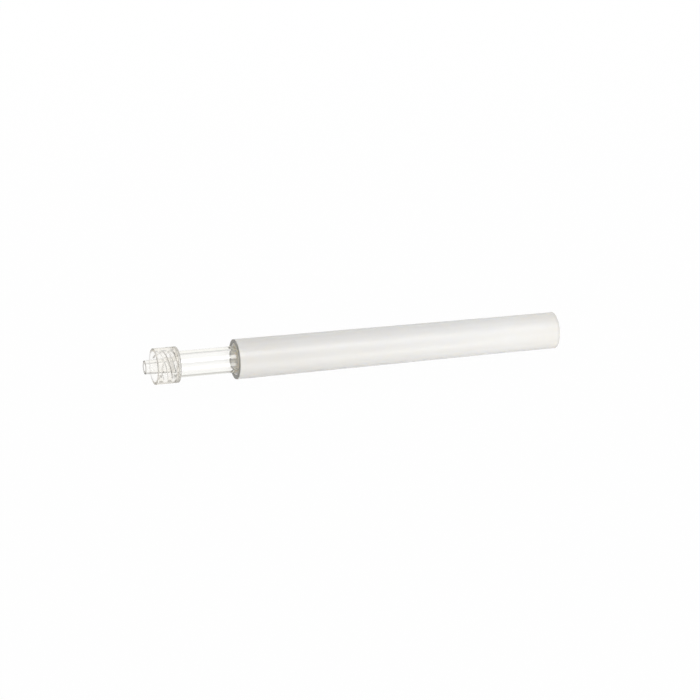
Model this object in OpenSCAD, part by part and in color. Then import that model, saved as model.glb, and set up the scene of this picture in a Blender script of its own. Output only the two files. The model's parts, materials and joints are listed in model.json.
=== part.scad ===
// Straight suction adapter tip: a clear screw-lock head on a clear tube,
// sealed by a soft ring inside a milky tapered sleeve that plugs into a suction valve.
// All sizes are in millimetres. The origin is on the axis, at the end face of the sleeve's tail.
// The axis lies along X and the nozzle points to -X.

/* [Outer sleeve] */
// Length of the sleeve, from its tail face to its mouth face
sleeve_len = 98; // [70:1:130]
// Length of the straight tail that goes into the suction valve
tail_len = 15; // [8:1:25]
// Growth of the sleeve's diameter from its tail to its mouth
sleeve_flare = 0.85; // [0.3:0.05:1.6]
// Wall of the sleeve at both of its ends
sleeve_wall = 1.25; // [0.9:0.05:1.5]
// Broken edge on the sleeve's two ends
sleeve_edge = 0.15; // [0.05:0.05:0.4]

/* [Clear tube] */
// Outside diameter of the tube
tube_d = 7.6; // [6.6:0.1:7.8]
// Wall of the tube
tube_wall = 1.1; // [0.9:0.05:1.4]
// Length of tube that shows between the sleeve's mouth and the head
tube_exposed = 17; // [8:0.5:40]
// Distance from the sleeve's tail face to the tube's inner end
tube_setback = 16.5; // [6:0.5:40]
// Length of the shoulder between the tube's inner end and the ring's groove
shoulder_len = 0.8; // [0.5:0.1:2]
// Depth of the ring's groove
groove_depth = 0.4; // [0.2:0.05:0.6]
// Broken edge on the tube's inner end
tube_edge = 0.2; // [0.05:0.05:0.4]

/* [Seal ring] */
// Length of the seal ring
ring_len = 9; // [5:0.5:16]
// Number of sealing lips
lip_count = 3; // [2:1:5]
// Height of a lip above the ring's body
lip_height = 0.2; // [0.05:0.05:0.25]

/* [Lock head] */
// Outside diameter of the collar
collar_d = 10.4; // [9.8:0.1:12]
// Length of the collar, from its flat back to its rim
collar_len = 6.9; // [6:0.1:10]
// Depth of the socket in the collar's back that takes the tube's outer end
socket_depth = 0.4; // [0.3:0.1:1.5]
// Thickness of the web between the socket and the collar's cavity
hub_web = 0.6; // [0.6:0.1:2]
// Wall of the collar at its rim
rim_wall = 0.75; // [0.5:0.05:0.9]
// Depth of the sloping lead-in inside the rim
lead_in = 0.6; // [0.3:0.1:0.9]
// Distance that the nozzle stands out past the rim
nozzle_out = 2.7; // [2.1:0.1:4]
// Diameter of the nozzle at its end
nozzle_end_d = 3.96; // [3.9:0.01:4.05]
// Taper of the nozzle: growth of its diameter for each unit of length
nozzle_taper = 0.06; // [0.04:0.005:0.08]
// Diameter of the suction hole
hole_d = 2.1; // [1.2:0.1:2.8]
// Depth of the funnel where the suction hole opens into the socket
funnel_depth = 0.5; // [0.2:0.1:0.6]
// Broken edge on the head's outer corners and on the socket's mouth
head_edge = 0.15; // [0.05:0.05:0.3]
// Fillet in the corners of the collar's cavity
cavity_fillet = 0.3; // [0.1:0.05:0.4]

/* [Lock ramps] */
// Number of ramps inside the collar
ramp_count = 2; // [1:1:3]
// Diameter between the ramps, at the cavity's wall
ramp_root_d = 8; // [7.8:0.05:8.6]
// Height of a ramp above the cavity's wall
ramp_height = 0.5; // [0.3:0.05:0.7]
// Axial advance of a ramp in one turn
ramp_lead = 5; // [4:0.25:7]
// Axial width of a ramp's crest
crest_width = 0.5; // [0.3:0.05:0.8]
// Axial width that each flank adds at the ramp's foot
flank_width = 0.45; // [0.2:0.05:0.6]
// Distance from the rim to the middle of a ramp's entry
ramp_entry = 1; // [0.9:0.1:1.5]
// Angle about the axis at which the first ramp enters
ramp_phase = 70; // [0:5:355]

/* [Fits] */
// Radial room between the tube and the sleeve's bore at the tail face
bore_room = 0.3; // [0.25:0.05:0.6]
// Radial clearance between the ring's lips and the sleeve's bore
bore_gap = 0.04; // [0.02:0.01:0.08]
// Radial clearance between the ring and the bottom of its groove
groove_gap = 0.04; // [0.02:0.01:0.08]
// Axial clearance between the ring and each side of its groove
groove_end_gap = 0.1; // [0.05:0.05:0.3]
// Clearance for the bond between the tube and the socket, all round and at the tube's end
bond_gap = 0.02; // [0.01:0.01:0.05]

/* [Hidden] */
$fn = 96;

milky = [0.89, 0.885, 0.87];
soft_white = [0.95, 0.95, 0.94];
clear = [0.93, 0.94, 0.94, 0.4];
clear_warm = [0.91, 0.9, 0.87, 0.55];

// Radii
tube_r = tube_d / 2;
tail_bore_r = tube_r + bore_room;
tail_r = tail_bore_r + sleeve_wall;
mouth_r = tail_r + sleeve_flare / 2;
tube_bore_r = tube_r - tube_wall;
groove_r = tube_r - groove_depth;
ring_inner_r = groove_r + groove_gap;
collar_r = collar_d / 2;
root_r = ramp_root_d / 2;
hole_r = hole_d / 2;
socket_r = tube_r + bond_gap;

// Heights along the axis, up from the tail face, with the part standing on its tail
z_mouth = sleeve_len;
z_tube_end = tube_setback;
z_groove = z_tube_end + shoulder_len;
z_ring = z_groove + groove_end_gap;
z_back = z_mouth + tube_exposed;
z_socket = z_back + socket_depth;
z_tube_top = z_socket - bond_gap;
z_floor = z_socket + hub_web;
z_rim = z_back + collar_len;
z_tip = z_rim + nozzle_out;

groove_len = ring_len + 2 * groove_end_gap;
lip_pitch = ring_len / (lip_count - 0.5);

// Radius of the sleeve's drafted bore at a height
function bore_r(z) = tail_bore_r + sleeve_flare / 2 * z / sleeve_len;
// Radius of the nozzle at a height
function nozzle_r(z) = nozzle_end_d / 2 + nozzle_taper / 2 * (z_tip - z);

// Lays a part that is drawn along Z down along the X axis, with its nozzle end to -X
module lay_down() {
    rotate([0, -90, 0]) children();
}

module outer_sleeve() {
    color(milky) lay_down() rotate_extrude() polygon([
        [bore_r(0), 0],
        [tail_r - sleeve_edge, 0],
        [tail_r, sleeve_edge],
        [tail_r, tail_len],
        [mouth_r, z_mouth - sleeve_edge],
        [mouth_r - sleeve_edge, z_mouth],
        [bore_r(z_mouth), z_mouth]
    ]);
}

// Outline of one lip: a land that follows the sleeve's draft, with sloping flanks
function lip_outline(z_low, z_high) = [
    [bore_r(z_low) - bore_gap - lip_height, z_low],
    [bore_r(z_low + lip_height) - bore_gap, z_low + lip_height],
    [bore_r(z_high - lip_height) - bore_gap, z_high - lip_height],
    [bore_r(z_high) - bore_gap - lip_height, z_high]
];

module seal_ring() {
    lips = [
        for (i = [0 : lip_count - 1])
            each lip_outline(z_ring + i * lip_pitch, z_ring + (i + 0.5) * lip_pitch)
    ];
    bore = [[ring_inner_r, z_ring + ring_len], [ring_inner_r, z_ring]];
    color(soft_white) lay_down() rotate_extrude() polygon(concat(lips, bore));
}

module clear_tube() {
    color(clear) lay_down() rotate_extrude() polygon([
        [tube_bore_r, z_tube_end],
        [tube_r - tube_edge, z_tube_end],
        [tube_r, z_tube_end + tube_edge],
        [tube_r, z_groove],
        [groove_r, z_groove],
        [groove_r, z_groove + groove_len],
        [tube_r, z_groove + groove_len],
        [tube_r, z_tube_top],
        [tube_bore_r, z_tube_top]
    ]);
}

// Nozzle, cavity, collar and socket turned as one outline
module head_body() {
    rotate_extrude() polygon([
        [hole_r, z_tip],
        [nozzle_r(z_tip) - head_edge, z_tip],
        [nozzle_r(z_tip - head_edge), z_tip - head_edge],
        [nozzle_r(z_floor + cavity_fillet), z_floor + cavity_fillet],
        [nozzle_r(z_floor) + cavity_fillet, z_floor],
        [root_r - cavity_fillet, z_floor],
        [root_r, z_floor + cavity_fillet],
        [root_r, z_rim - lead_in],
        [collar_r - rim_wall, z_rim],
        [collar_r - head_edge, z_rim],
        [collar_r, z_rim - head_edge],
        [collar_r, z_back + head_edge],
        [collar_r - head_edge, z_back],
        [socket_r + head_edge, z_back],
        [socket_r, z_back + head_edge],
        [socket_r, z_socket],
        [hole_r + funnel_depth, z_socket],
        [hole_r, z_socket + funnel_depth]
    ]);
}

// A ramp runs down from its entry until its crest meets the cavity's floor
ramp_drop = z_rim - z_floor - ramp_entry - crest_width / 2;
ramp_turn = 360 * ramp_drop / ramp_lead;
// Angle of a section along a ramp, and the number of sections that rise to the full height at its entry
section_angle = 15;
ramp_steps = ceil(ramp_turn / section_angle);
entry_steps = 3;
// A ramp's foot sinks into this share of the collar's wall
sink_share = 1 / 4;

// Corners of one section of a ramp, at a share t of its length
function ramp_section(t) =
    let (
        angle = ramp_phase - ramp_turn * t,
        z = z_rim - ramp_entry - ramp_drop * t,
        rise = min(1, (1 + t * ramp_steps) / (1 + entry_steps)),
        foot_r = root_r + (collar_r - root_r) * sink_share,
        crest_r = root_r - ramp_height * rise,
        half_crest = crest_width / 2,
        half_foot = half_crest + flank_width
    ) [
        for (corner = [
            [foot_r, half_foot],
            [crest_r, half_crest],
            [crest_r, -half_crest],
            [foot_r, -half_foot]
        ]) [corner[0] * cos(angle), corner[0] * sin(angle), z + corner[1]]
    ];

module lock_ramp() {
    last = 4 * ramp_steps;
    corners = [for (i = [0 : ramp_steps]) each ramp_section(i / ramp_steps)];
    sides = [
        for (i = [0 : ramp_steps - 1], j = [0 : 3])
            let (a = 4 * i + j, b = 4 * i + (j + 1) % 4)
            each [[a, b + 4, b], [a, a + 4, b + 4]]
    ];
    caps = [
        [0, 1, 2],
        [0, 2, 3],
        [last, last + 2, last + 1],
        [last, last + 3, last + 2]
    ];
    polyhedron(corners, concat(sides, caps));
}

module lock_head() {
    color(clear_warm) lay_down() {
        head_body();
        for (i = [0 : ramp_count - 1])
            rotate([0, 0, 360 * i / ramp_count]) lock_ramp();
    }
}

outer_sleeve();
seal_ring();
clear_tube();
lock_head();
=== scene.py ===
"""Looks of a straight suction adapter tip: milky sleeve, clear tube, soft seal ring and clear lock head.

Every piece is turned about the X axis, with a through hole, so each is one closed surface:
an outline in the half plane, carried round the axis. Outline sizes are in millimetres.
"""

import json
import math

import bpy
import numpy as np
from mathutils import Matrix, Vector


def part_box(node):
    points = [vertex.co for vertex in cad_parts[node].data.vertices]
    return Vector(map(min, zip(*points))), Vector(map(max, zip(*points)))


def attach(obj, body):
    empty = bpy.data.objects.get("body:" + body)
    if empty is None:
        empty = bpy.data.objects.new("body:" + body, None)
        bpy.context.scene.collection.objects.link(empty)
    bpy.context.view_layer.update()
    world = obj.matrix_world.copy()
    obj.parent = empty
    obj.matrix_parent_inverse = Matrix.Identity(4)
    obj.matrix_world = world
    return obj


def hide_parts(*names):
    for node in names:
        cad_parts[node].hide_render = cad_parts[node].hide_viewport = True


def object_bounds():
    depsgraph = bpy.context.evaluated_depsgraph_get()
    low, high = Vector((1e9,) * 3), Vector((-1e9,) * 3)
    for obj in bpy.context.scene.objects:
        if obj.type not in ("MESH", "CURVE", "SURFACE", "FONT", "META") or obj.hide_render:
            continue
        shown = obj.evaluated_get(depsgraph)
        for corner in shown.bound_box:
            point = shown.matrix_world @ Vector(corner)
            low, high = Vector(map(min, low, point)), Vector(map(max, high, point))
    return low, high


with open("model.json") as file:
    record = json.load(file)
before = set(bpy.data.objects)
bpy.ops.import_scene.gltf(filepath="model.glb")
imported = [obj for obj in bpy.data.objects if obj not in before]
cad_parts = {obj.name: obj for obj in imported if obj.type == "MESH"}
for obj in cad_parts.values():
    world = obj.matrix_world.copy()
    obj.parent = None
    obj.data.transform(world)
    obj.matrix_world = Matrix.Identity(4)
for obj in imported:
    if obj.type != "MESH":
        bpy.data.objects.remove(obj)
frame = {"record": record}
cad_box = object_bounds()

MM = 0.001
TURN = 2 * math.pi


# Sizes

def reach(node):
    """Start and end of a CAD node along the axis, counted from the tail face on, and its outer radius."""
    low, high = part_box(node)
    return -high.x / MM, -low.x / MM, high.z / MM


SLEEVE_TAIL, SLEEVE_MOUTH, MOUTH_R = reach("outer_sleeve")
TUBE_END, TUBE_TOP, TUBE_R = reach("clear_tube")
HEAD_BACK, NOZZLE_TIP, COLLAR_R = reach("lock_head")
RING_LOW, RING_HIGH = reach("seal_ring")[:2]

TAIL_MOUNT = next(m for m in frame["record"]["mounts"] if m["name"] == "suction_tail")
TAIL_R = TAIL_MOUNT["dims"]["r_mm"]
TAIL_LENGTH = 15.0
TAIL_BEND = 2.0
SLEEVE_WALL = 1.25
SLEEVE_EDGE = 0.15
SLEEVE_INNER_EDGE = 0.1

TUBE_WALL = 1.1
TUBE_EDGE = 0.2
SHOULDER = 0.8
GROOVE_DEPTH = 0.4
GROOVE_LENGTH = 9.2
FINE_EDGE = 0.06

RING_GAP = 0.04
LIP_COUNT = 3
LIP_HEIGHT = 0.2

NOZZLE_OUT = 2.7
HUB_WEB = 0.6
SOCKET_GAP = 0.02
COLLAR_RIM = NOZZLE_TIP - NOZZLE_OUT
SOCKET_FLOOR = TUBE_TOP + SOCKET_GAP
CAVITY_FLOOR = SOCKET_FLOOR + HUB_WEB
RIM_WALL = 0.75
LEAD_IN = 0.6
NOZZLE_END_R = 1.98
NOZZLE_SLOPE = 0.03
HOLE_R = 1.05
FUNNEL_DEPTH = 0.5
HEAD_EDGE = 0.2
MOULD_EDGE = 0.12
CAVITY_FILLET = 0.3

RAMP_COUNT = 2
RAMP_ROOT_R = 4.0
RAMP_HEIGHT = 0.5
RAMP_LEAD = 5.0
RAMP_CREST = 0.5
RAMP_FLANK = 0.45
RAMP_ENTRY = 1.0
RAMP_PHASE = math.radians(70)
RAMP_RISE = math.radians(45)

# Average distances between the points of an outline, and columns round the axis
SLEEVE_STEP, SLEEVE_COLUMNS = 2.0, 256
TUBE_STEP, TUBE_COLUMNS = 1.5, 256
RING_STEP, RING_COLUMNS = 0.25, 192
HEAD_STEP, RAMP_STEP, HEAD_COLUMNS = 0.5, 0.05, 288
# Points on a corner's arc, and the fewest pieces that a straight run is split into
ARC_POINTS = 6
FEWEST_PIECES = 4

# Strengths and reaches of the painted shade on the sleeve's cut ends and on the head, and of the painted glow
# in the sleeve's bore
CUT_FADE = 0.25
TAIL_CUT_SHARE = 0.65
BORE_GLOW = 0.1
FOOT_LINE = 0.15
START_LINE = 0.3
START_TURN = math.radians(25)
RIM_SHADE = 0.5
NOZZLE_SHADE = 0.75
WEB_SHADE = 0.5


# Shapes

def smooth_step(x):
    """0 below 0, 1 above 1, and 3 x squared minus 2 x cubed between."""
    x = np.clip(x, 0, 1)
    return x * x * (3 - 2 * x)


def bore_radius(axial):
    """Radius of the sleeve's drafted bore: a straight line from the tail's wall to the mouth's wall."""
    return TAIL_R - SLEEVE_WALL + (MOUTH_R - TAIL_R) * axial / SLEEVE_MOUTH


def nozzle_radius(axial):
    """Radius of the taper nozzle: its end radius plus a fixed slope times the distance from its end."""
    return NOZZLE_END_R + NOZZLE_SLOPE * (NOZZLE_TIP - axial)


def rounded_outline(corners, step, fine_run=None, fine_step=None):
    """A closed outline: straight runs between corners, and at each corner an arc that touches both runs.

    Each corner is (axial, radius, fillet). An arc of fillet f at a corner that turns by w starts f tan(w/2)
    before the corner. Points on a run crowd towards its ends as a cosine does, about step apart on average,
    or fine_step apart on the run after corner number fine_run.
    """
    points = np.array([c[:2] for c in corners], float)
    fillets = np.array([c[2] for c in corners], float)
    ahead = np.roll(points, -1, axis=0) - points
    length = np.linalg.norm(ahead, axis=1)
    ahead /= length[:, None]
    behind = np.roll(ahead, 1, axis=0)
    turn = np.arctan2(behind[:, 0] * ahead[:, 1] - behind[:, 1] * ahead[:, 0], (behind * ahead).sum(1))
    cut = fillets * np.tan(np.abs(turn) / 2)
    made = []
    for i in range(len(points)):
        start = points[i] - behind[i] * cut[i]
        inward = np.sign(turn[i]) * np.array([-behind[i, 1], behind[i, 0]])
        centre = start + inward * fillets[i]
        sweep = np.abs(turn[i]) * np.linspace(0, 1, ARC_POINTS)[:, None]
        made.append(centre - inward * fillets[i] * np.cos(sweep) + behind[i] * fillets[i] * np.sin(sweep))
        run_start = points[i] + ahead[i] * cut[i]
        run = length[i] - cut[i] - cut[(i + 1) % len(points)]
        count = max(FEWEST_PIECES, int(run / (fine_step if i == fine_run else step)))
        share = (1 - np.cos(np.pi * np.arange(1, count) / count)) / 2
        made.append(run_start + ahead[i] * run * share[:, None])
    return np.concatenate(made)


def turned(name, outline, columns, relief=None, tags=None):
    """A closed ring surface: the outline carried round the X axis.

    The point of row i and column j lies at the outline's radius i, at the angle j turns / columns from +Z
    towards +Y. relief gives a change of radius for each axial place, radius and angle. tags are named values,
    given in the same way, which materials can read.
    """
    axial, radius = outline[:, :1], outline[:, 1:]
    angle = np.arange(columns)[None, :] * TURN / columns
    radius = np.repeat(radius, columns, axis=1)
    values = {
        tag: np.broadcast_to(rule(axial, radius, angle), radius.shape)
        for tag, rule in (tags or {}).items()
    }
    if relief:
        radius = radius + relief(axial, radius, angle)
    along = np.repeat(-axial, columns, axis=1)
    place = np.stack([along, radius * np.sin(angle), radius * np.cos(angle)], axis=-1)
    index = np.arange(place.shape[0] * columns).reshape(-1, columns)
    below, beside = np.roll(index, -1, axis=0), np.roll(index, -1, axis=1)
    corner = np.roll(below, -1, axis=1)
    faces = np.stack([index, beside, corner, below], axis=-1).reshape(-1, 4)
    points = place.reshape(-1, 3)
    a, b, c = points[faces[:, 0]], points[faces[:, 1]], points[faces[:, 2]]
    if (a * np.cross(b, c)).sum() < 0:
        faces = faces[:, ::-1]
    mesh = bpy.data.meshes.new(name)
    mesh.from_pydata((points * MM).tolist(), [], faces.tolist())
    mesh.shade_smooth()
    for tag, grid in values.items():
        mesh.attributes.new(tag, "FLOAT", "POINT").data.foreach_set("value", grid.ravel().astype(np.float32))
    piece = bpy.data.objects.new(name, mesh)
    bpy.context.scene.collection.objects.link(piece)
    return piece


# Milky sleeve

def painted_cut_end_shade(axial, radius, angle):
    """How much of the painted grey shade on the cut ends shows: 1 on the mouth's end face and a share of it
    on the tail's.

    It falls as a smooth step to 0 a little past their edges.
    """
    at_mouth = smooth_step(1 - (SLEEVE_MOUTH - axial) / CUT_FADE)
    at_tail = smooth_step(1 - (axial - SLEEVE_TAIL) / CUT_FADE)
    return np.maximum(at_mouth, TAIL_CUT_SHARE * at_tail)


def bore_glow(axial, radius, angle):
    """The glow's strength on the sleeve's bore, short of the edges at its ends, and 0 elsewhere."""
    to_end = np.minimum(axial - SLEEVE_TAIL, SLEEVE_MOUTH - axial)
    return BORE_GLOW * ((to_end > SLEEVE_INNER_EDGE) & (radius < bore_radius(axial) + SLEEVE_WALL / 2))


def make_sleeve():
    """Straight tail, taper out to the mouth, drafted bore."""
    outline = rounded_outline([
        (SLEEVE_TAIL, bore_radius(SLEEVE_TAIL), SLEEVE_INNER_EDGE),
        (SLEEVE_TAIL, TAIL_R, SLEEVE_EDGE),
        (TAIL_LENGTH, TAIL_R, TAIL_BEND),
        (SLEEVE_MOUTH, MOUTH_R, SLEEVE_EDGE),
        (SLEEVE_MOUTH, bore_radius(SLEEVE_MOUTH), SLEEVE_INNER_EDGE),
    ], SLEEVE_STEP)
    tags = {"painted_cut_end_shade": painted_cut_end_shade, "bore_glow": bore_glow}
    return turned("milky_sleeve", outline, SLEEVE_COLUMNS, tags=tags)


# Clear tube

def make_tube():
    """Bore, plain outside, and the ring's groove near the inner end."""
    bore = TUBE_R - TUBE_WALL
    groove = TUBE_R - GROOVE_DEPTH
    low = TUBE_END + SHOULDER
    high = low + GROOVE_LENGTH
    outline = rounded_outline([
        (TUBE_END, bore, FINE_EDGE),
        (TUBE_END, TUBE_R, TUBE_EDGE),
        (low, TUBE_R, FINE_EDGE),
        (low, groove, FINE_EDGE),
        (high, groove, FINE_EDGE),
        (high, TUBE_R, FINE_EDGE),
        (TUBE_TOP, TUBE_R, FINE_EDGE),
        (TUBE_TOP, bore, FINE_EDGE),
    ], TUBE_STEP)
    return turned("clear_suction_tube", outline, TUBE_COLUMNS)


# Seal ring

def make_ring():
    """Lips that follow the sleeve's draft, with hollows between them, round a plain bore.

    A lip and a hollow each take half a pitch, and no hollow follows the last lip.
    """
    pitch = (RING_HIGH - RING_LOW) / (LIP_COUNT - 0.5)
    inner = TUBE_R - GROOVE_DEPTH + RING_GAP
    corners = []
    for i in range(LIP_COUNT):
        low = RING_LOW + i * pitch
        high = low + pitch / 2
        corners += [
            (low, bore_radius(low) - RING_GAP - LIP_HEIGHT, FINE_EDGE),
            (low + LIP_HEIGHT, bore_radius(low + LIP_HEIGHT) - RING_GAP, FINE_EDGE),
            (high - LIP_HEIGHT, bore_radius(high - LIP_HEIGHT) - RING_GAP, FINE_EDGE),
            (high, bore_radius(high) - RING_GAP - LIP_HEIGHT, FINE_EDGE),
        ]
    corners += [(RING_HIGH, inner, FINE_EDGE), (RING_LOW, inner, FINE_EDGE)]
    return turned("soft_seal_ring", rounded_outline(corners, RING_STEP), RING_COLUMNS)


# Lock head

def on_cavity_wall(axial, radius):
    """1 on the wall of the head's cavity and 0 elsewhere, fading along the lead-in."""
    depth = COLLAR_RIM - axial
    inside = (np.abs(radius - RAMP_ROOT_R) < RIM_WALL) & (axial > CAVITY_FLOOR - HUB_WEB / 2)
    return inside * np.clip((depth - LEAD_IN / 2) / (LEAD_IN / 2), 0, 1)


def ramp_places(axial, angle):
    """For each ramp, the turn made from its entry, and how much deeper than its middle line a place lies.

    The middle line lies deeper than the entry by the lead times the turn made.
    """
    for ramp in range(RAMP_COUNT):
        made = np.mod(RAMP_PHASE + TURN * ramp / RAMP_COUNT - angle, TURN)
        yield made, COLLAR_RIM - axial - RAMP_ENTRY - RAMP_LEAD * made / TURN


def ramp_relief(axial, radius, angle):
    """Lock ramps, as a change of the cavity wall's radius: minus the ramp's height.

    Across a ramp the height is full on the crest and falls along the flanks as a smooth step; along it, it
    rises as a smooth step from the entry.
    """
    height = 0
    for made, off in ramp_places(axial, angle):
        across = smooth_step(1 - (np.abs(off) - RAMP_CREST / 2) / RAMP_FLANK)
        height = np.maximum(height, across * smooth_step(made / RAMP_RISE))
    return -RAMP_HEIGHT * height * on_cavity_wall(axial, radius)


def ramp_lines(axial, angle):
    """Painted shade lines of the ramps, in place of the dark lines that refraction at their flanks gives:
    bell curves across the foot of the deeper flank, and across the start.

    The foot's line comes in as the ramp rises. The start's is full over a short turn, and falls as a smooth
    step to 0 over the next.
    """
    foot = RAMP_CREST / 2 + RAMP_FLANK
    strength = 0
    for made, off in ramp_places(axial, angle):
        along_foot = np.exp(-((off - foot) / FOOT_LINE) ** 2) * smooth_step(made / RAMP_RISE)
        at_start = np.exp(-(off / START_LINE) ** 2) * smooth_step(2 - made / START_TURN)
        strength = np.maximum(strength, np.maximum(along_foot, at_start))
    return strength


def painted_refraction_shade(axial, radius, angle):
    """How much painted shade the clear moulding gets, in place of the dark outlines that refraction gives:
    the largest of four shades.

    They are the ramps' lines, the end faces of rim and nozzle, which fade as smooth steps over their edges,
    and the web's band round the outside.
    """
    lines = ramp_lines(axial, angle) * on_cavity_wall(axial, radius)
    rim = RIM_SHADE * smooth_step(1 - np.abs(axial - COLLAR_RIM) / HEAD_EDGE) * (radius > RAMP_ROOT_R)
    nozzle = NOZZLE_SHADE * smooth_step(1 - np.abs(axial - NOZZLE_TIP) / HEAD_EDGE)
    web = WEB_SHADE * (axial < CAVITY_FLOOR) * (radius > COLLAR_R - HEAD_EDGE)
    return np.maximum(np.maximum(lines, rim), np.maximum(nozzle, web))


def make_head():
    """Nozzle, cavity with its ramps, collar, and the socket that takes the tube."""
    socket_r = TUBE_R + SOCKET_GAP
    outline = rounded_outline([
        (NOZZLE_TIP, HOLE_R, MOULD_EDGE),
        (NOZZLE_TIP, nozzle_radius(NOZZLE_TIP), HEAD_EDGE),
        (CAVITY_FLOOR, nozzle_radius(CAVITY_FLOOR), CAVITY_FILLET),
        (CAVITY_FLOOR, RAMP_ROOT_R, CAVITY_FILLET),
        (COLLAR_RIM - LEAD_IN, RAMP_ROOT_R, MOULD_EDGE),
        (COLLAR_RIM, COLLAR_R - RIM_WALL, MOULD_EDGE),
        (COLLAR_RIM, COLLAR_R, HEAD_EDGE),
        (HEAD_BACK, COLLAR_R, HEAD_EDGE),
        (HEAD_BACK, socket_r, HEAD_EDGE),
        (SOCKET_FLOOR, socket_r, MOULD_EDGE),
        (SOCKET_FLOOR, HOLE_R + FUNNEL_DEPTH, MOULD_EDGE),
        (SOCKET_FLOOR + FUNNEL_DEPTH, HOLE_R, MOULD_EDGE),
    ], HEAD_STEP, fine_run=3, fine_step=RAMP_STEP)
    return turned("clear_lock_head", outline, HEAD_COLUMNS, ramp_relief, {"painted_refraction_shade": painted_refraction_shade})


# Nodes

# A grain's value lies mostly between these
GRAIN_LOW, GRAIN_HIGH = 0.3, 0.7


def new_material(name):
    """An empty node material with a Principled shader; returns the material, its node tree and the shader."""
    material = bpy.data.materials.new(name)
    material.use_nodes = True
    return material, material.node_tree, material.node_tree.nodes["Principled BSDF"]


def set_sockets(node, values):
    """Sets a node's sockets, given by name."""
    for socket, value in values.items():
        node.inputs[socket].default_value = value


def grain(tree, density):
    """Value of a noise on Object coordinates, with a number of features per metre for each axis."""
    place = tree.nodes.new("ShaderNodeTexCoord")
    stretch = tree.nodes.new("ShaderNodeMapping")
    set_sockets(stretch, {"Scale": density})
    tree.links.new(place.outputs["Object"], stretch.inputs["Vector"])
    noise = tree.nodes.new("ShaderNodeTexNoise")
    set_sockets(noise, {"Scale": 1.0, "Detail": 3.0})
    tree.links.new(stretch.outputs["Vector"], noise.inputs["Vector"])
    return noise.outputs["Fac"]


def vary(tree, value, socket, low, high):
    """Lets a socket follow a grain from low to high."""
    span = tree.nodes.new("ShaderNodeMapRange")
    set_sockets(span, {"From Min": GRAIN_LOW, "From Max": GRAIN_HIGH, "To Min": low, "To Max": high})
    tree.links.new(value, span.inputs["Value"])
    tree.links.new(span.outputs["Result"], socket)


def colours_along(tree, value, stops, interpolation="LINEAR"):
    """Colour that follows a value through stops, each a value from 0 to 1 and its colour, in rising order."""
    node = tree.nodes.new("ShaderNodeValToRGB")
    node.color_ramp.interpolation = interpolation
    for place, colour in stops[1:-1]:
        node.color_ramp.elements.new(place)
    for stop, (place, colour) in zip(node.color_ramp.elements, stops):
        stop.position = place
        stop.color = (*colour, 1)
    tree.links.new(value, node.inputs["Fac"])
    return node.outputs["Color"]


def tag_value(tree, name):
    """Value of one of a piece's tags."""
    node = tree.nodes.new("ShaderNodeAttribute")
    node.attribute_name = name
    return node.outputs["Fac"]


def colour_mix(tree, blend="MIX"):
    """A node that mixes the colours A and B."""
    node = tree.nodes.new("ShaderNodeMix")
    node.data_type = "RGBA"
    node.blend_type = blend
    return node


def larger(tree, first, second):
    """The larger of two values."""
    node = tree.nodes.new("ShaderNodeMath")
    node.operation = "MAXIMUM"
    tree.links.new(first, node.inputs[0])
    tree.links.new(second, node.inputs[1])
    return node.outputs[0]


def take_light(material, colour, density):
    """Makes a clear material take light along the way through it, so that what is left leans to a colour."""
    tree = material.node_tree
    depth = tree.nodes.new("ShaderNodeVolumeAbsorption")
    set_sockets(depth, {"Color": (*colour, 1), "Density": density})
    tree.links.new(depth.outputs[0], tree.nodes["Material Output"].inputs["Volume"])


# Materials

MILKY_DEEP, MILKY_PALE = (0.9, 0.885, 0.855), (0.935, 0.92, 0.895)
# Colour of the painted shade on the sleeve's cut ends
CUT_END_SHADE_GREY = (0.225, 0.215, 0.192)
GLOW_WARM = (1.0, 0.96, 0.9)
# Levels of the painted shade along the sleeve, at the mouth, at the tube's inner end and at the tail
MOUTH_LEVEL, TUBE_END_LEVEL, TAIL_LEVEL = 0.9, 0.99, 0.92
DRAWN_STREAKS = (6, 400, 400)
DRAWN_LINES = (6, 600, 600)
GLOSS_LIFT = 12
TUBE_DEPTH_TINT = (0.85, 0.8, 0.5)
MOULD_HAZE = (500, 500, 500)
# Colour of the painted shade on the head's edges, web band and ramp lines, where refraction gives dark lines
HEAD_PAINTED_SHADE = (0.17, 0.15, 0.125)
HEAD_DEPTH_TINT = (0.84, 0.72, 0.43)
RUBBER_MOTTLE = (900, 900, 900)
RUBBER_GRAIN = (4000, 4000, 4000)
RUBBER_DEEP, RUBBER_PALE = (0.79, 0.785, 0.765), (0.85, 0.85, 0.83)


def grey(level):
    """The same level in red, green and blue."""
    return (level, level, level)


def shade_along_sleeve(tree):
    """Painted shade along the sleeve: grey that lightens evenly from the mouth to the tube's inner end, and
    darkens evenly to the tail.

    Past the tube's end nothing shows through the wall.
    """
    place = tree.nodes.new("ShaderNodeTexCoord")
    axes = tree.nodes.new("ShaderNodeSeparateXYZ")
    tree.links.new(place.outputs["Object"], axes.inputs[0])
    along = tree.nodes.new("ShaderNodeMapRange")
    set_sockets(along, {"From Min": -SLEEVE_MOUTH * MM, "From Max": -SLEEVE_TAIL * MM})
    tree.links.new(axes.outputs["X"], along.inputs["Value"])
    return colours_along(tree, along.outputs["Result"], [
        (0, grey(MOUTH_LEVEL)),
        (1 - TUBE_END / SLEEVE_MOUTH, grey(TUBE_END_LEVEL)),
        (1, grey(TAIL_LEVEL)),
    ])


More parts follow.
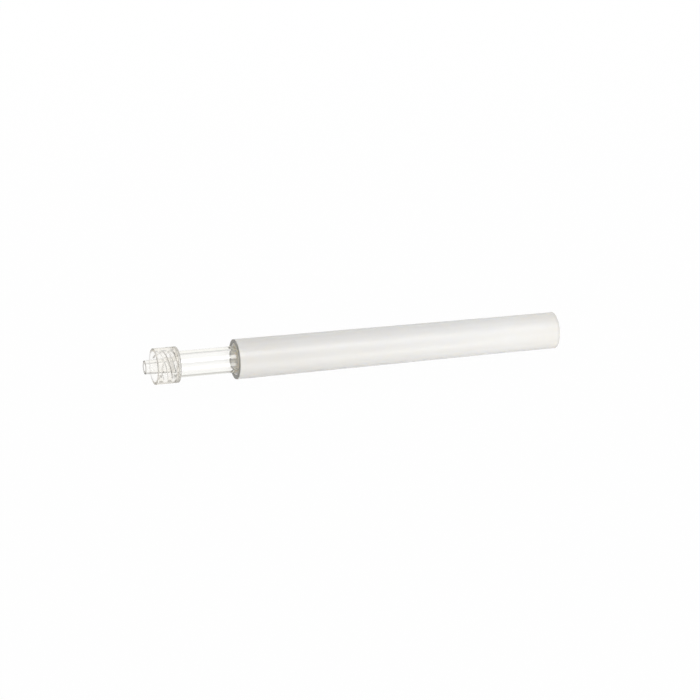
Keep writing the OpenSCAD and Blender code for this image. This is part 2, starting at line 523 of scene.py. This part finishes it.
def milky_plastic():
    """Milky satin plastic: light sinks into it, faint streaks run along it, and it carries painted shade
    along its length and a painted grey shade on its cut ends.

    Its bore glows a little, in place of the light that comes through a real sleeve's wall.
    """
    material, tree, shader = new_material("milky_satin")
    set_sockets(shader, {
        "Specular IOR Level": 0.2,
        "Subsurface Weight": 1.0,
        "Subsurface Radius": (1.0, 0.95, 0.85),
        "Subsurface Scale": 1.5 * MM,
        "Emission Color": (*GLOW_WARM, 1),
    })
    streaks = grain(tree, DRAWN_STREAKS)
    vary(tree, streaks, shader.inputs["Roughness"], low=0.19, high=0.25)
    tone = colours_along(tree, streaks, [(GRAIN_LOW, MILKY_DEEP), (GRAIN_HIGH, MILKY_PALE)])
    body = colour_mix(tree, "MULTIPLY")
    set_sockets(body, {"Factor": 1.0})
    tree.links.new(tone, body.inputs["A"])
    tree.links.new(shade_along_sleeve(tree), body.inputs["B"])
    # Painted shade: the cut ends are mixed towards a dark grey
    colour = colour_mix(tree)
    set_sockets(colour, {"B": (*CUT_END_SHADE_GREY, 1)})
    tree.links.new(tag_value(tree, "painted_cut_end_shade"), colour.inputs["Factor"])
    tree.links.new(body.outputs["Result"], colour.inputs["A"])
    tree.links.new(colour.outputs["Result"], shader.inputs["Base Color"])
    tree.links.new(tag_value(tree, "bore_glow"), shader.inputs["Emission Strength"])
    return material


def clear_plastic():
    """Clear drawn plastic, nearly without tint, with faint draw lines along it.

    It bends light less than a real one, and the specular tint lifts its gloss to a little over a real one's.
    """
    material, tree, shader = new_material("clear_gloss")
    set_sockets(shader, {
        "Base Color": (1, 1, 1, 1),
        "Specular Tint": (*grey(GLOSS_LIFT), 1),
        "IOR": 1.16,
        "Transmission Weight": 1.0,
    })
    vary(tree, grain(tree, DRAWN_LINES), shader.inputs["Roughness"], low=0.04, high=0.08)
    take_light(material, TUBE_DEPTH_TINT, density=35)
    return material


def moulded_clear_plastic():
    """Clear moulded plastic, slightly hazed, that takes a little light, so long ways through it look grey.

    The places tagged with painted shade have a dark tint as well, in place of the dark lines that refraction
    gives.
    """
    material, tree, shader = new_material("clear_moulding")
    set_sockets(shader, {"IOR": 1.18, "Transmission Weight": 1.0})
    vary(tree, grain(tree, MOULD_HAZE), shader.inputs["Roughness"], low=0.17, high=0.23)
    # Painted shade: a dark tint on the tagged edges, web band and ramp lines
    tint = colour_mix(tree)
    set_sockets(tint, {"A": (1, 1, 1, 1), "B": (*HEAD_PAINTED_SHADE, 1)})
    tree.links.new(tag_value(tree, "painted_refraction_shade"), tint.inputs["Factor"])
    tree.links.new(tint.outputs["Result"], shader.inputs["Base Color"])
    take_light(material, HEAD_DEPTH_TINT, density=38)
    return material


def soft_seal():
    """Soft white rubber: faintly mottled, with a fine dull grain."""
    material, tree, shader = new_material("soft_satin")
    mottle = grain(tree, RUBBER_MOTTLE)
    tone = colours_along(tree, mottle, [(0, RUBBER_DEEP), (1, RUBBER_PALE)])
    tree.links.new(tone, shader.inputs["Base Color"])
    vary(tree, mottle, shader.inputs["Roughness"], low=0.5, high=0.6)
    bump = tree.nodes.new("ShaderNodeBump")
    set_sockets(bump, {"Strength": 0.15, "Distance": 0.05 * MM})
    tree.links.new(grain(tree, RUBBER_GRAIN), bump.inputs["Height"])
    tree.links.new(bump.outputs["Normal"], shader.inputs["Normal"])
    return material


# Pieces on their bodies

def dress(piece, node, body, material):
    """Hangs a piece on its body in place of its CAD node, with its material."""
    piece.data.materials.append(material)
    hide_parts(node)
    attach(piece, body)


dress(make_sleeve(), "outer_sleeve", "sleeve", milky_plastic())
dress(make_ring(), "seal_ring", "ring", soft_seal())
dress(make_tube(), "clear_tube", "cannula", clear_plastic())
dress(make_head(), "lock_head", "cannula", moulded_clear_plastic())


# Stage and light, in metres

FLOOR_RADIUS = 3.0
FLOOR_SIDES = 96
FLOOR_GAP = 0.02 * MM
FLOOR_GREY = 0.9
FLOOR_WHITE_SHARE = 0.98
WORLD_GREY = 0.58
# Brightness of the world that clear and glossy surfaces see, by the height of the ray's direction
WORLD_BAND = [(0, grey(1.0)), (0.1, grey(0.55)), (0.6, grey(1.0))]


def floor_paint():
    """Matte pale paint that shows nearly white to the camera and in clear and glossy surfaces."""
    material, tree, shader = new_material("pale_floor")
    tree.nodes.remove(shader)
    matte = tree.nodes.new("ShaderNodeBsdfDiffuse")
    set_sockets(matte, {"Color": (*grey(FLOOR_GREY), 1)})
    white = tree.nodes.new("ShaderNodeEmission")
    set_sockets(white, {"Strength": 1.0})
    path = tree.nodes.new("ShaderNodeLightPath").outputs
    seen = larger(tree, path["Is Camera Ray"], path["Is Glossy Ray"])
    seen = larger(tree, seen, path["Is Transmission Ray"])
    share = tree.nodes.new("ShaderNodeMath")
    share.operation = "MULTIPLY"
    share.inputs[1].default_value = FLOOR_WHITE_SHARE
    tree.links.new(seen, share.inputs[0])
    mix = tree.nodes.new("ShaderNodeMixShader")
    tree.links.new(share.outputs[0], mix.inputs[0])
    tree.links.new(matte.outputs[0], mix.inputs[1])
    tree.links.new(white.outputs[0], mix.inputs[2])
    tree.links.new(mix.outputs[0], tree.nodes["Material Output"].inputs["Surface"])
    return material


def make_floor():
    """Round floor just under the object: a many-sided disc, which keeps part of the object's shadow."""
    angle = np.arange(FLOOR_SIDES) * TURN / FLOOR_SIDES
    height = np.full(FLOOR_SIDES, cad_box[0].z - FLOOR_GAP)
    rim = np.stack([FLOOR_RADIUS * np.cos(angle), FLOOR_RADIUS * np.sin(angle), height], axis=1)
    mesh = bpy.data.meshes.new("pale_floor")
    mesh.from_pydata(rim.tolist(), [], [list(range(FLOOR_SIDES))])
    mesh.materials.append(floor_paint())
    floor = bpy.data.objects.new("pale_floor", mesh)
    bpy.context.scene.collection.objects.link(floor)


def make_world():
    """White to the camera, even grey to matte surfaces, and a grey band in white to clear and glossy ones."""
    world = bpy.data.worlds.new("studio")
    bpy.context.scene.world = world
    world.use_nodes = True
    tree = world.node_tree
    background = tree.nodes["Background"]
    set_sockets(background, {"Color": (1, 1, 1, 1)})
    look = tree.nodes.new("ShaderNodeTexCoord")
    axes = tree.nodes.new("ShaderNodeSeparateXYZ")
    tree.links.new(look.outputs["Generated"], axes.inputs[0])
    band = colours_along(tree, axes.outputs["Z"], WORLD_BAND, "EASE")
    path = tree.nodes.new("ShaderNodeLightPath").outputs
    strength = tree.nodes.new("ShaderNodeMix")
    set_sockets(strength, {"A": WORLD_GREY})
    clear_or_glossy = larger(tree, path["Is Glossy Ray"], path["Is Transmission Ray"])
    tree.links.new(clear_or_glossy, strength.inputs["Factor"])
    tree.links.new(band, strength.inputs["B"])
    shown = larger(tree, path["Is Camera Ray"], strength.outputs["Result"])
    tree.links.new(shown, background.inputs["Strength"])


def soft_box(name, place, target, size, watts, shape="RECTANGLE", lights=False, mirrored=False):
    """Soft lamp, turned to a target; it lights matte surfaces, or is only mirrored in shiny ones."""
    lamp = bpy.data.lights.new(name, "AREA")
    lamp.shape = shape
    lamp.size, lamp.size_y = size
    lamp.energy = watts
    holder = bpy.data.objects.new(name, lamp)
    holder.location = place
    holder.rotation_euler = (Vector(target) - Vector(place)).to_track_quat("-Z", "Y").to_euler()
    holder.visible_camera = False
    holder.visible_diffuse = lights
    holder.visible_glossy = mirrored
    holder.visible_transmission = False
    bpy.context.scene.collection.objects.link(holder)


# Camera: on the nozzle's side, a little above the axis, far off with a long lens

IMAGE_SIDE = 700
FOCAL_PIXELS = 3238
SENSOR = 36.0
AIM = Vector((-0.0632, 0.0, -0.0004))
CAMERA_AZIMUTH = math.radians(-18.52)
CAMERA_ELEVATION = math.radians(15.92)
CAMERA_DISTANCE = 0.9355
CAMERA_NEAR, CAMERA_FAR = 0.05, 20


def make_camera():
    """Camera that looks at the aim point from its distance, azimuth and elevation."""
    data = bpy.data.cameras.new("camera")
    data.sensor_width = SENSOR
    data.lens = SENSOR * FOCAL_PIXELS / IMAGE_SIDE
    data.clip_start, data.clip_end = CAMERA_NEAR, CAMERA_FAR
    back = Vector((
        math.sin(CAMERA_AZIMUTH) * math.cos(CAMERA_ELEVATION),
        -math.cos(CAMERA_AZIMUTH) * math.cos(CAMERA_ELEVATION),
        math.sin(CAMERA_ELEVATION),
    ))
    camera = bpy.data.objects.new("camera", data)
    camera.location = AIM + back * CAMERA_DISTANCE
    camera.rotation_euler = (-back).to_track_quat("-Z", "Y").to_euler()
    bpy.context.scene.collection.objects.link(camera)
    bpy.context.scene.camera = camera


make_floor()
make_world()
# Two boxes light the object, and two only show in it, as bands on the sleeve and streaks on the tube
soft_box("front_box", place=(0.25, -0.8, 0.09), target=AIM, size=(1.2, 0.16), watts=4.1, lights=True)
soft_box("back_box", place=(0.1, 0.75, 0.4), target=AIM, size=(1.2, 0.3), watts=2.5, lights=True)
soft_box(
    "sheen_box",
    place=(-0.23, -0.73, 0.62),
    target=(-0.23, 0, 0),
    size=(1.2, 0.5),
    watts=11.0,
    mirrored=True,
)
soft_box(
    "floor_sheen",
    place=(-0.1, -0.0165, -0.0057),
    target=(-0.1, -0.0165, 1.0),
    size=(0.23, 0.014),
    watts=0.03,
    shape="ELLIPSE",
    mirrored=True,
)
make_camera()
bpy.context.scene.view_settings.view_transform = "Standard"
